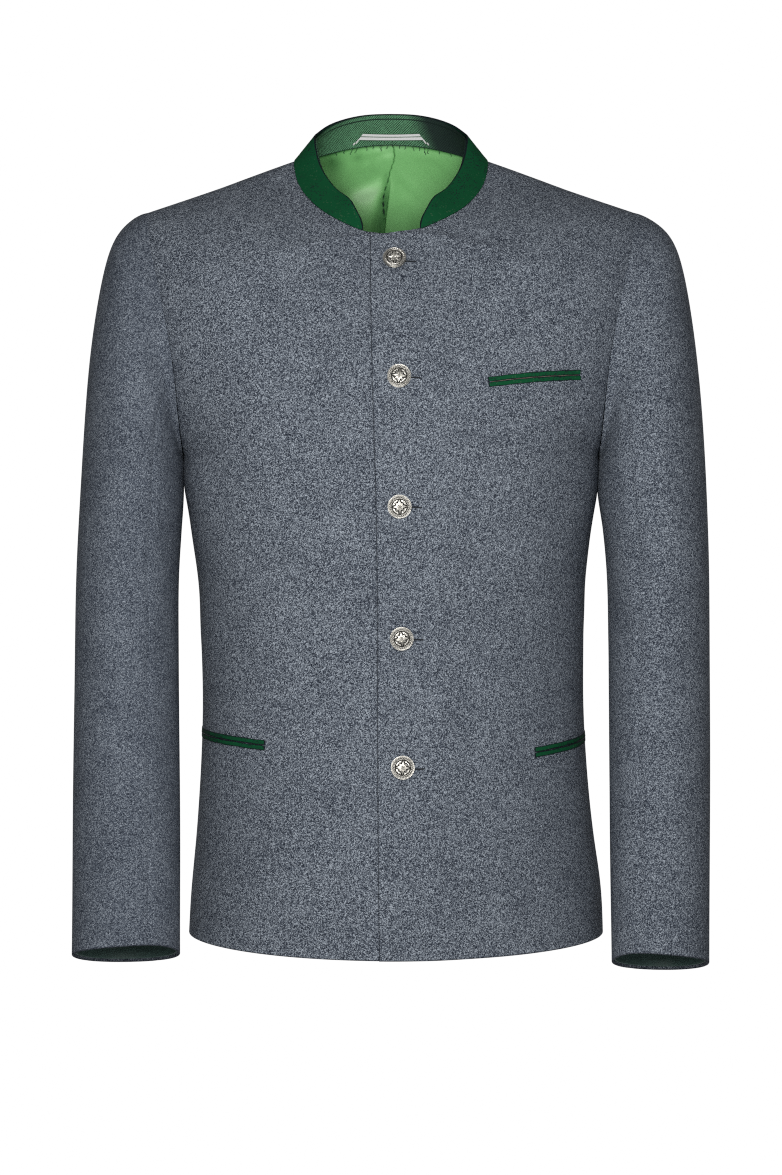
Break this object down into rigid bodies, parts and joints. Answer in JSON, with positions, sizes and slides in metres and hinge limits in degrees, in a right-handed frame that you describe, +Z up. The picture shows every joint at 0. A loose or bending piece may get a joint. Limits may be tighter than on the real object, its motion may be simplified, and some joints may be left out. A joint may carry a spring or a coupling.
{
  "type": "tyrolean loden jacket",
  "caption": "Hip-length loden jacket with a green standing collar cut away in front, a buttoned front, green jetted pockets and two-piece sleeves, worn and hollow.",
  "frame": {"origin": "middle of the neck opening, level with where the shoulder seams meet the collar", "axes": "+Z up, the front faces -Y, the wearer's left is +X"},
  "size_m": [0.5666, 0.2644, 0.7777],
  "materials": {
    "loden": "milled wool, blue-grey melange",
    "green_cloth": "dark green wool felt",
    "facing": "green birdseye weave",
    "lining": "light green satin",
    "dark_lining": "dark satin",
    "tape": "green tape with two white stripes",
    "old_silver": "aged cast metal"
  },
  "bodies": {
    "root": {"back": "loden", "back_lining": "lining", "button_1": "old_silver", "button_2": "old_silver", "button_3": "old_silver", "button_4": "old_silver", "button_5": "old_silver", "chest_jet_lower": "green_cloth", "chest_jet_upper": "green_cloth", "collar": "green_cloth", "collar_facing": "facing", "cuff_lining_left_back": "dark_lining", "cuff_lining_left_front": "dark_lining", "cuff_lining_right_back": "dark_lining", "cuff_lining_right_front": "dark_lining", "front_left": "loden", "front_right": "loden", "hanger_loop": "tape", "hip_left_jet_lower": "green_cloth", "hip_left_jet_upper": "green_cloth", "hip_right_jet_lower": "green_cloth", "hip_right_jet_upper": "green_cloth", "under_sleeve_left": "loden", "under_sleeve_right": "loden", "upper_sleeve_left": "loden", "upper_sleeve_right": "loden"}
  },
  "joints": []
}
